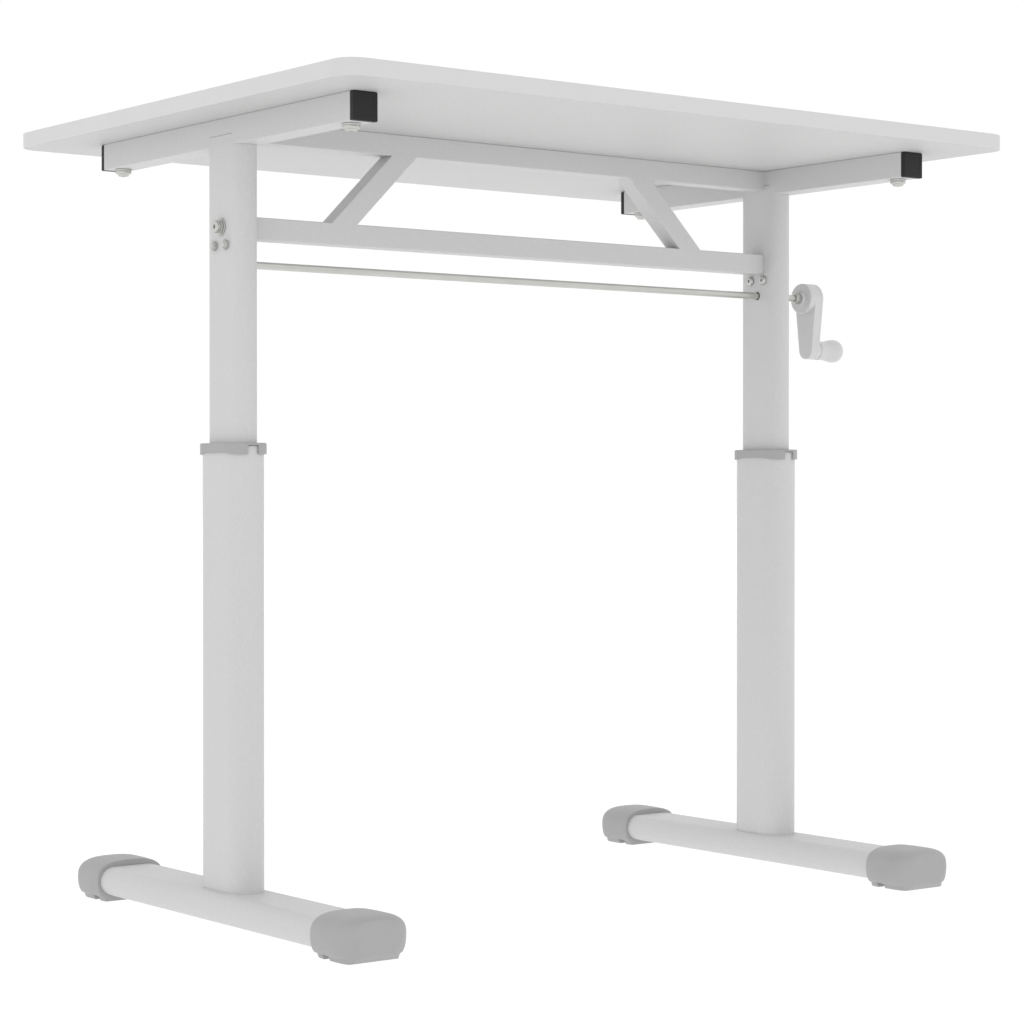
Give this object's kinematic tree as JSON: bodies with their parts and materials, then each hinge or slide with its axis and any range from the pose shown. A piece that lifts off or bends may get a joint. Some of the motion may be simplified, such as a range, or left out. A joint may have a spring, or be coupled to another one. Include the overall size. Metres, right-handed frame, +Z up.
{
  "type": "height adjustable desk",
  "caption": "Crank-driven height adjustable desk: laminate top on a steel frame, telescoping oval columns, T feet with plastic end caps and a crank at the right.",
  "frame": {"origin": "on the floor, under the middle of the desk's overall box at rest", "axes": "+X along the long edge towards the crank, +Y from the user towards the back, +Z up"},
  "size_m": [0.8446, 0.6, 0.762],
  "materials": {
    "laminate_board": "white melamine laminate on chipboard, fine texture",
    "white_powder_coat": "white powder coat, satin",
    "grey_plastic": "moulded, fine grain",
    "black_plastic": "moulded, matte",
    "white_plastic": "moulded, semi-gloss",
    "zinc_steel": "zinc plated",
    "brass": "machined",
    "nylon": "natural nylon"
  },
  "bodies": {
    "base": {"foot_tube_left": "white_powder_coat", "foot_tube_right": "white_powder_coat", "foot_cap_front_left": "grey_plastic", "foot_cap_front_right": "grey_plastic", "foot_cap_rear_left": "grey_plastic", "foot_cap_rear_right": "grey_plastic", "lower_column_left": "white_powder_coat", "lower_column_right": "white_powder_coat", "column_collar_left": "grey_plastic", "column_collar_right": "grey_plastic", "nut_post_left": "zinc_steel", "nut_post_right": "zinc_steel", "lead_nut_left": "brass", "lead_nut_right": "brass"},
    "top_frame": {"tabletop": "laminate_board", "upper_beam": "white_powder_coat", "lower_beam": "white_powder_coat", "side_rail_left": "white_powder_coat", "side_rail_right": "white_powder_coat", "brace_left": "white_powder_coat", "brace_right": "white_powder_coat", "upper_column_left": "white_powder_coat", "upper_column_right": "white_powder_coat", "guide_bush_left": "nylon", "guide_bush_right": "nylon", "gearbox_housing_left": "nylon", "gearbox_housing_right": "nylon", "thrust_bearing_left": "zinc_steel", "thrust_bearing_right": "zinc_steel", "rail_plug_front_left": "black_plastic", "rail_plug_front_right": "black_plastic", "rail_plug_rear_left": "black_plastic", "rail_plug_rear_right": "black_plastic", "tabletop_bolt_front_left": "zinc_steel", "tabletop_bolt_front_right": "zinc_steel", "tabletop_bolt_rear_left": "zinc_steel", "tabletop_bolt_rear_right": "zinc_steel", "beam_bolt_left": "zinc_steel", "beam_bolt_right": "zinc_steel", "gearbox_bolt_front_left": "zinc_steel", "gearbox_bolt_rear_left": "zinc_steel", "gearbox_nut_front_left": "zinc_steel", "gearbox_nut_rear_left": "zinc_steel", "gearbox_bolt_front_right": "zinc_steel", "gearbox_bolt_rear_right": "zinc_steel", "gearbox_nut_front_right": "zinc_steel", "gearbox_nut_rear_right": "zinc_steel"},
    "drive_shaft": {"drive_rod": "zinc_steel", "rod_gear_left": "zinc_steel", "rod_gear_right": "zinc_steel", "crank_arm": "white_plastic", "crank_nut": "zinc_steel", "crank_screw": "zinc_steel", "grip_pin": "zinc_steel"},
    "crank_grip": {"crank_grip": "white_plastic"},
    "lead_screw_left": {"lead_screw_left": "zinc_steel", "screw_gear_left": "zinc_steel"},
    "lead_screw_right": {"lead_screw_right": "zinc_steel", "screw_gear_right": "zinc_steel"}
  },
  "joints": [
    {"name": "height_slide", "type": "slide", "parent": "base", "child": "top_frame", "axis": [0, 0, 1], "range_m": [-0.14, 0.14]},
    {"name": "crank_turn", "type": "hinge", "parent": "top_frame", "child": "drive_shaft", "pos_m": [-0.02225, -0.012, 0.6135], "axis": [1, 0, 0], "range_deg": [-12600, 12600]},
    {"name": "grip_spin", "type": "hinge", "parent": "drive_shaft", "child": "crank_grip", "pos_m": [0.39775, -0.012, 0.5575], "axis": [1, 0, 0], "continuous": true},
    {"name": "lead_screw_turn_left", "type": "hinge", "parent": "top_frame", "child": "lead_screw_left", "pos_m": [-0.35725, -0.012, 0.6135], "axis": [0, 0, 1], "range_deg": [-12600, 12600]},
    {"name": "lead_screw_turn_right", "type": "hinge", "parent": "top_frame", "child": "lead_screw_right", "pos_m": [0.31275, -0.012, 0.6135], "axis": [0, 0, 1], "range_deg": [-12600, 12600]}
  ],
  "couplings": [
    {"joint": "crank_turn", "follows": "height_slide", "rad_per_m": -1570.8},
    {"joint": "lead_screw_turn_left", "follows": "height_slide", "rad_per_m": 1570.8},
    {"joint": "lead_screw_turn_right", "follows": "height_slide", "rad_per_m": 1570.8}
  ]
}
